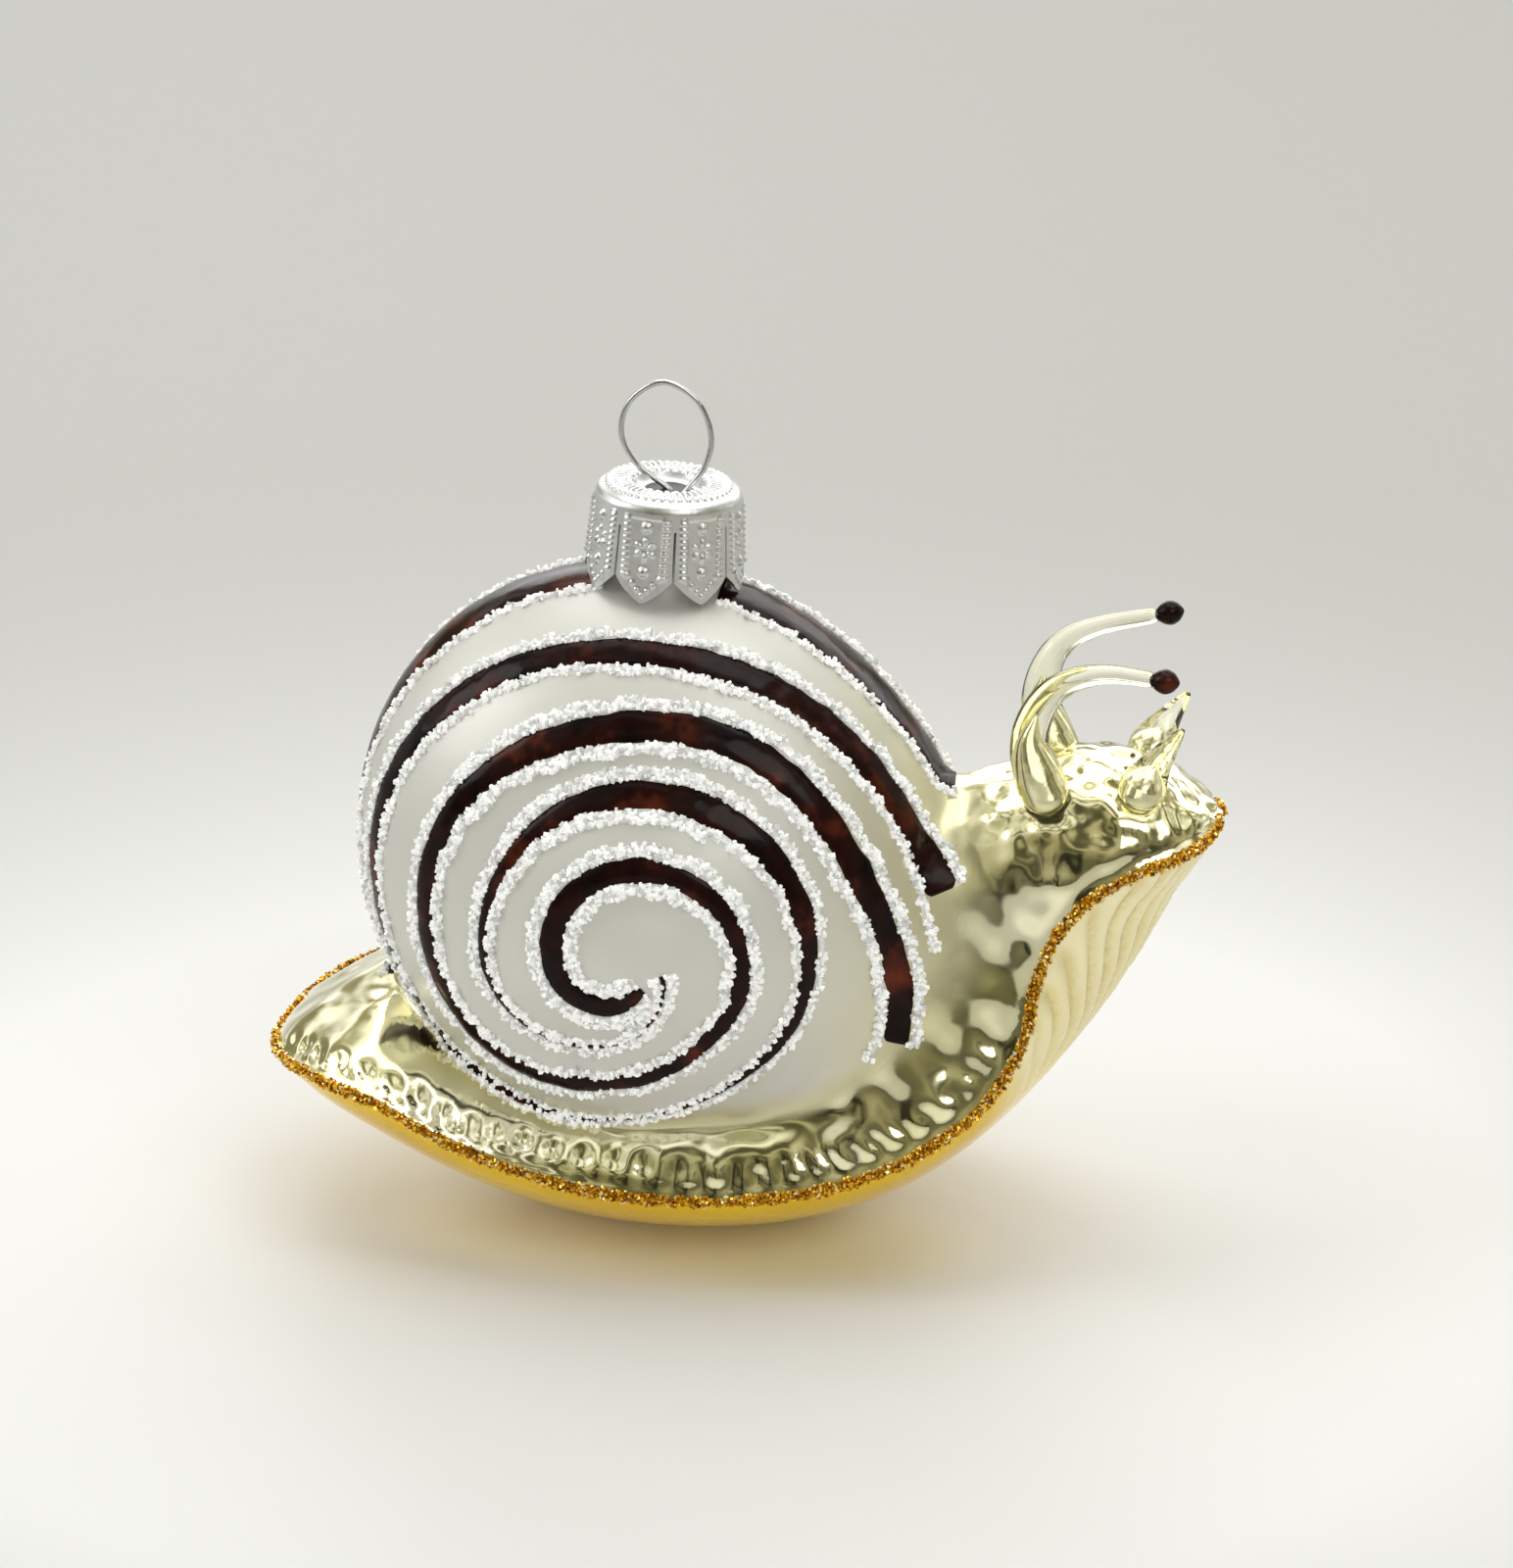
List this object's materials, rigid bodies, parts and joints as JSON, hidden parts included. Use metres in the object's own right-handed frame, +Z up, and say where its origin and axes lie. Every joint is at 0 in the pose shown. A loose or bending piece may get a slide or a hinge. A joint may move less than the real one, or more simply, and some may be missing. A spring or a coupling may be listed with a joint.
{
  "type": "blown glass snail ornament",
  "caption": "Hollow blown glass snail with a striped spiral shell, a glittered foot rim, clear glass feelers, a stamped crown cap and a wire loop to hang it by",
  "frame": {"origin": "middle of the small flat under the belly that the ornament stands on", "axes": "+X towards the head, along the snail's length; +Y to the snail's left, across its width; +Z up through the cap and the hanging loop"},
  "size_m": [0.099, 0.052, 0.0897],
  "materials": {
    "painted_glass": "silvered inside, lacquered pearl white on the shell, pale champagne on the body and amber under the belly",
    "cap_metal": "stamped, satin silver",
    "spring_wire": "bright drawn wire",
    "clear_glass": "clear pale yellow glass",
    "black_enamel": "gloss black enamel drop"
  },
  "bodies": {
    "root": {"glass_body": "painted_glass", "cap": "cap_metal", "wire_loop": "spring_wire", "long_feeler_right": "clear_glass", "long_feeler_left": "clear_glass", "short_feeler_right": "clear_glass", "short_feeler_left": "clear_glass", "long_feeler_tip_right": "black_enamel", "long_feeler_tip_left": "black_enamel"}
  },
  "joints": []
}
